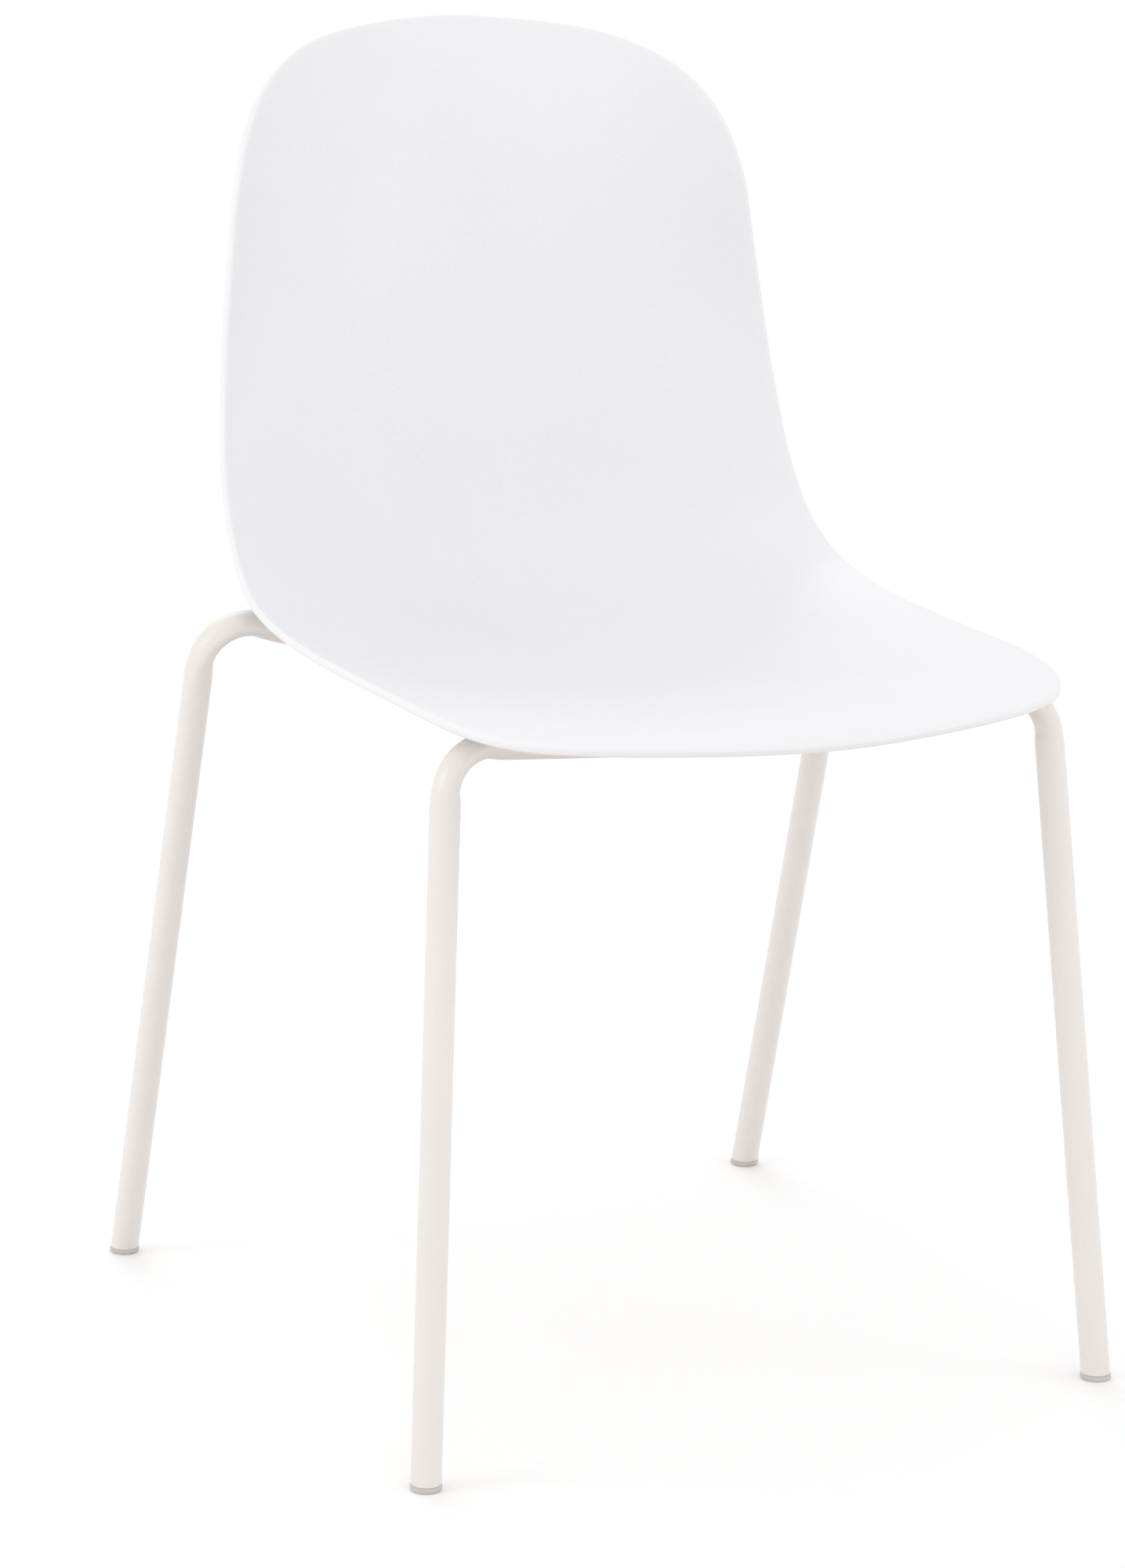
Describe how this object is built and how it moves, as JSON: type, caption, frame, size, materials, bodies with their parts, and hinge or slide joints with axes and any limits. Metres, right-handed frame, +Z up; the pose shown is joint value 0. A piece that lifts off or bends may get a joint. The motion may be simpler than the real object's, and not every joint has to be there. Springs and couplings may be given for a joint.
{
  "type": "stacking chair",
  "caption": "Four-leg stacking chair with a one-piece moulded plastic seat and back on a bent tube steel frame with plastic glides.",
  "frame": {"origin": "bottom centre of the whole chair: on the floor, midway across and midway from the front rim to the rearmost point of the back", "axes": "+Z up, along the overall height; -Y to the front, where the sitter faces; +X across the chair"},
  "size_m": [0.502, 0.5775, 0.836],
  "materials": {
    "shell_plastic": "fine-grained satin white polypropylene",
    "frame_paint": "semi-gloss warm white powder coat",
    "glide_plastic": "satin mid-grey nylon",
    "pad_rubber": "matt grey soft plastic",
    "screw_steel": "zinc plated",
    "insert_brass": "machined"
  },
  "bodies": {
    "root": {"seat_shell": "shell_plastic", "front_leg_frame": "frame_paint", "rear_leg_frame": "frame_paint", "rail_left": "frame_paint", "rail_right": "frame_paint", "front_bracket_left": "frame_paint", "front_bracket_right": "frame_paint", "rear_bracket_left": "frame_paint", "rear_bracket_right": "frame_paint", "threaded_inserts": "insert_brass", "shell_screws": "screw_steel", "screw_washers": "screw_steel", "front_glide_left": "glide_plastic", "front_glide_right": "glide_plastic", "rear_glide_left": "glide_plastic", "rear_glide_right": "glide_plastic", "front_stacking_pad_left": "pad_rubber", "front_stacking_pad_right": "pad_rubber", "rear_stacking_pad_left": "pad_rubber", "rear_stacking_pad_right": "pad_rubber"}
  },
  "joints": []
}
